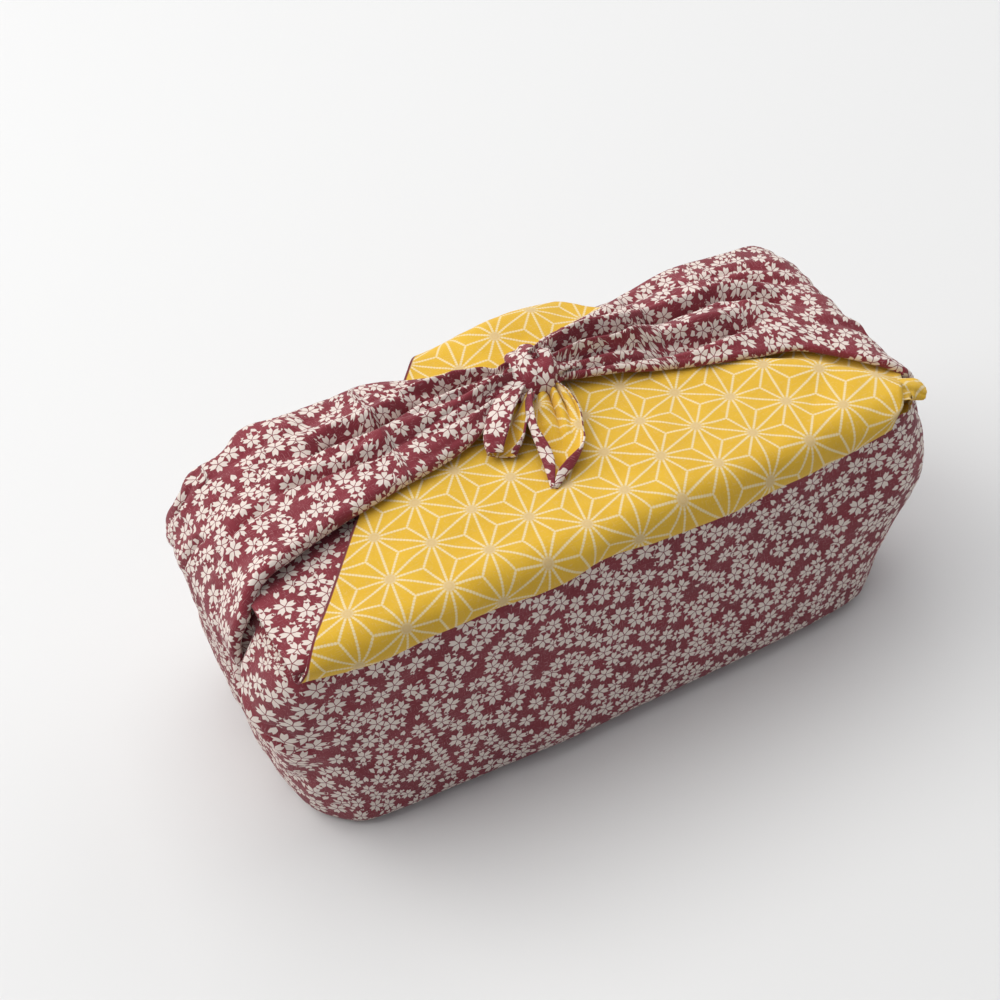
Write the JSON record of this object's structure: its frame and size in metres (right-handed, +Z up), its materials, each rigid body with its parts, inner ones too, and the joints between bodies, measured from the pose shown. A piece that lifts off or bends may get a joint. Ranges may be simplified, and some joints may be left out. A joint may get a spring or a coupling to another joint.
{
  "type": "furoshiki wrap",
  "caption": "Square of double-faced cotton cloth, wrapped as a small box-shaped bundle and tied on top with a knot and free ends.",
  "frame": {"origin": "centre of the bounding box on the surface that the bundle rests on", "axes": "+X along the bundle's length towards the right wing, +Y away from the turned-back fold, +Z up"},
  "size_m": [0.2261, 0.1011, 0.1063],
  "materials": {
    "burgundy_blossom_cotton": "matte woven cotton, burgundy with small cream blossoms"
  },
  "bodies": {
    "root": {"furoshiki_cloth": "burgundy_blossom_cotton"}
  },
  "joints": []
}
